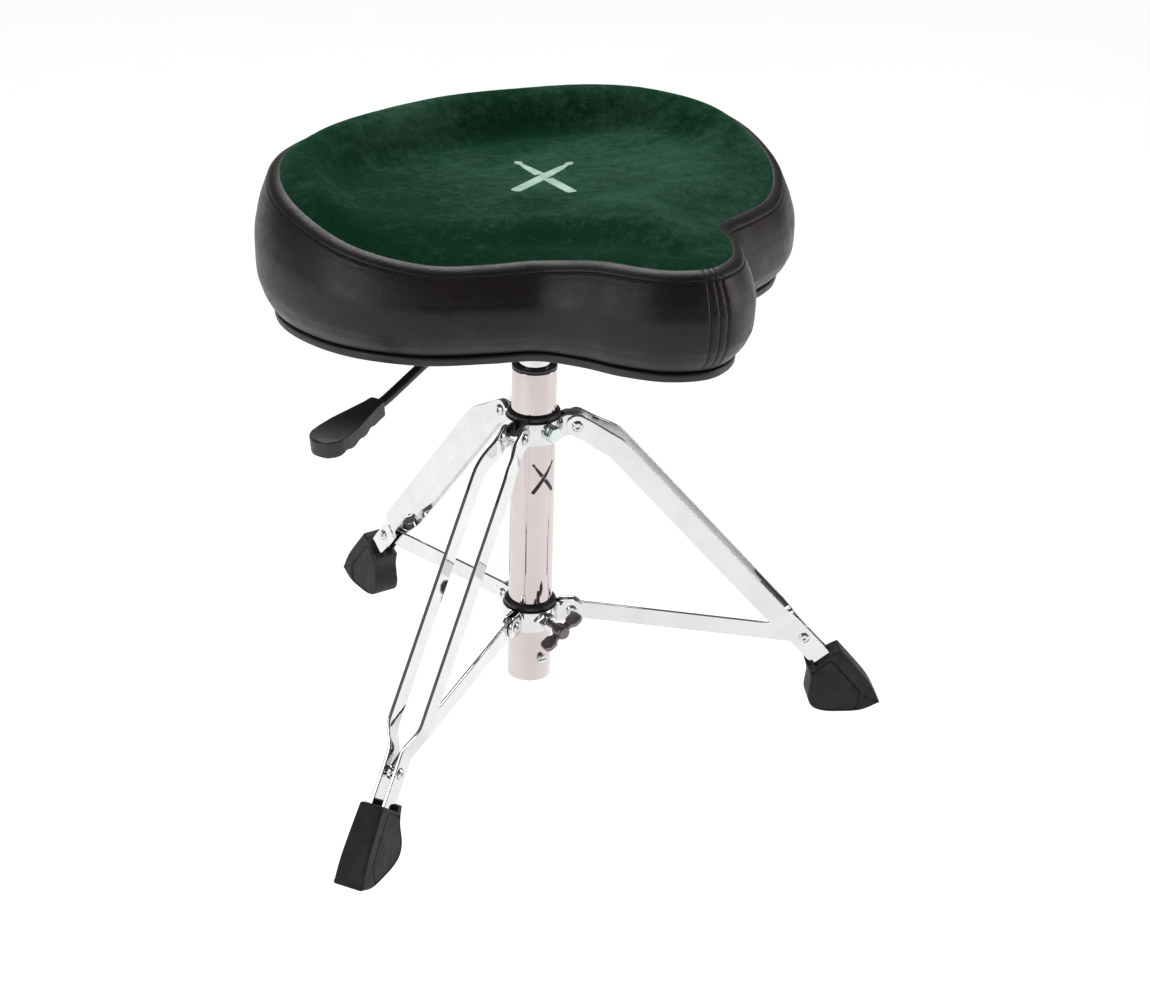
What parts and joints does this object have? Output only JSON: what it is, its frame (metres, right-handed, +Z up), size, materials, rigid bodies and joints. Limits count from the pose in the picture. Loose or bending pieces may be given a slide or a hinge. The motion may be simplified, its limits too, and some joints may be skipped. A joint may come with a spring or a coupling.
{
  "type": "drum throne",
  "caption": "Drummer's stool with a dished saddle seat on a gas-lift column, a release lever and a folding tripod of flat double-braced legs.",
  "frame": {"origin": "on the floor, at the centre of the stand's and seat's shared footprint; the column's axis stands 36 mm nearer the seat's nose than that, at y = -0.036", "axes": "+Z up along the column; -Y towards the seat's nose, the way the sitter faces; +X to the sitter's left"},
  "size_m": [0.5582, 0.56, 0.528],
  "materials": {
    "chrome": "polished chrome plate",
    "zinc_plate": "zinc-plated steel",
    "bright_steel": "bright steel",
    "grey_casting": "satin grey casting",
    "black_steel": "satin black powder coat",
    "black_plastic": "moulded black plastic",
    "black_nylon": "moulded black nylon",
    "black_rubber": "moulded black rubber",
    "black_vinyl": "black upholstery vinyl",
    "green_velour": "deep green velour",
    "foam": "open-cell foam",
    "plywood": "birch plywood"
  },
  "bodies": {
    "column": {"column_tube": "chrome", "guide_bushing": "black_nylon", "base_plug": "black_plastic", "tube_screw": "zinc_plate", "upper_collar": "chrome", "upper_sleeve": "black_nylon", "collar_bolt": "zinc_plate", "left_leg_rivet": "bright_steel", "rear_leg_rivet": "bright_steel", "right_leg_rivet": "bright_steel"},
    "piston": {"piston_rod": "bright_steel", "retaining_clip": "zinc_plate", "thrust_bearing": "bright_steel", "rod_bumper": "black_rubber"},
    "seat": {"gas_cylinder": "chrome", "seat_hub": "black_steel", "lever_pin": "zinc_plate", "seat_plate": "black_steel", "seat_board": "plywood", "seat_bolt_1": "zinc_plate", "seat_bolt_2": "zinc_plate", "seat_bolt_3": "zinc_plate", "seat_bolt_4": "zinc_plate", "edge_trim": "black_plastic", "side_cover": "black_vinyl", "top_border": "black_vinyl", "top_panel": "green_velour", "seat_foam": "foam"},
    "lever": {"lever_rod": "black_steel", "lever_grip": "black_plastic"},
    "button": {"release_button": "bright_steel"},
    "sliding_collar": {"lower_collar": "chrome", "lower_sleeve": "black_nylon", "left_strut_rivet": "bright_steel", "rear_strut_rivet": "bright_steel", "right_strut_rivet": "bright_steel"},
    "clamp": {"clamp_pad": "black_nylon"},
    "wing": {"wing_screw": "grey_casting"},
    "left_leg": {"left_leg_bar_1": "chrome", "left_leg_bar_2": "chrome", "left_boot": "black_rubber", "left_foot_rivet_1": "bright_steel", "left_foot_rivet_2": "bright_steel"},
    "left_strut": {"left_strut": "chrome", "left_strut_bush": "bright_steel"},
    "rear_leg": {"rear_leg_bar_1": "chrome", "rear_leg_bar_2": "chrome", "rear_boot": "black_rubber", "rear_foot_rivet_1": "bright_steel", "rear_foot_rivet_2": "bright_steel"},
    "rear_strut": {"rear_strut": "chrome", "rear_strut_bush": "bright_steel"},
    "right_leg": {"right_leg_bar_1": "chrome", "right_leg_bar_2": "chrome", "right_boot": "black_rubber", "right_foot_rivet_1": "bright_steel", "right_foot_rivet_2": "bright_steel"},
    "right_strut": {"right_strut": "chrome", "right_strut_bush": "bright_steel"}
  },
  "joints": [
    {"name": "seat_swivel", "type": "hinge", "parent": "column", "child": "piston", "pos_m": [0, -0.036, 0.073], "axis": [0, 0, 1], "continuous": true},
    {"name": "seat_height", "type": "slide", "parent": "piston", "child": "seat", "axis": [0, 0, 1], "range_m": [0, 0.14]},
    {"name": "lever_lift", "type": "hinge", "parent": "seat", "child": "lever", "pos_m": [-0.03523, -0.05024, 0.3855], "axis": [-0.3746, 0.9272, 0], "range_deg": [0, 5], "stiffness_Nm_per_rad": 3},
    {"name": "button_travel", "type": "slide", "parent": "seat", "child": "button", "axis": [0, 0, -1], "range_m": [0, 0.0037], "stiffness_N_per_m": 800},
    {"name": "left_leg_fold", "type": "hinge", "parent": "column", "child": "left_leg", "pos_m": [0.03149, -0.05418, 0.28124], "axis": [0.5, 0.866, 0], "range_deg": [0, 40]},
    {"name": "rear_leg_fold", "type": "hinge", "parent": "column", "child": "rear_leg", "pos_m": [0, 0.00036, 0.28124], "axis": [-1, 0, 0], "range_deg": [0, 40]},
    {"name": "right_leg_fold", "type": "hinge", "parent": "column", "child": "right_leg", "pos_m": [-0.03149, -0.05418, 0.28124], "axis": [0.5, -0.866, 0], "range_deg": [0, 40]},
    {"name": "collar_slide", "type": "slide", "parent": "column", "child": "sliding_collar", "axis": [0, 0, 1], "range_m": [0, 0.0935]},
    {"name": "left_strut_fold", "type": "hinge", "parent": "sliding_collar", "child": "left_strut", "pos_m": [0.0314, -0.05413, 0.10331], "axis": [0.5, 0.866, 0], "range_deg": [0, 75]},
    {"name": "rear_strut_fold", "type": "hinge", "parent": "sliding_collar", "child": "rear_strut", "pos_m": [0, 0.00026, 0.10331], "axis": [-1, 0, 0], "range_deg": [0, 75]},
    {"name": "right_strut_fold", "type": "hinge", "parent": "sliding_collar", "child": "right_strut", "pos_m": [-0.0314, -0.05413, 0.10331], "axis": [0.5, -0.866, 0], "range_deg": [0, 75]},
    {"name": "clamp_release", "type": "slide", "parent": "sliding_collar", "child": "clamp", "axis": [0, -1, 0], "range_m": [0, 0.0026]},
    {"name": "wing_turn", "type": "hinge", "parent": "clamp", "child": "wing", "pos_m": [0, -0.081, 0.10331], "axis": [0, -1, 0], "range_deg": [0, 720]}
  ],
  "couplings": [
    {"joint": "button_travel", "follows": "lever_lift", "m_per_rad": 0.041},
    {"joint": "rear_leg_fold", "follows": "left_leg_fold", "ratio": 1},
    {"joint": "right_leg_fold", "follows": "left_leg_fold", "ratio": 1},
    {"joint": "collar_slide", "follows": "left_leg_fold", "m_per_rad": 0.13353},
    {"joint": "left_strut_fold", "follows": "left_leg_fold", "ratio": 1.8728},
    {"joint": "rear_strut_fold", "follows": "left_leg_fold", "ratio": 1.8728},
    {"joint": "right_strut_fold", "follows": "left_leg_fold", "ratio": 1.8728},
    {"joint": "clamp_release", "follows": "wing_turn", "m_per_rad": 0.000199}
  ]
}
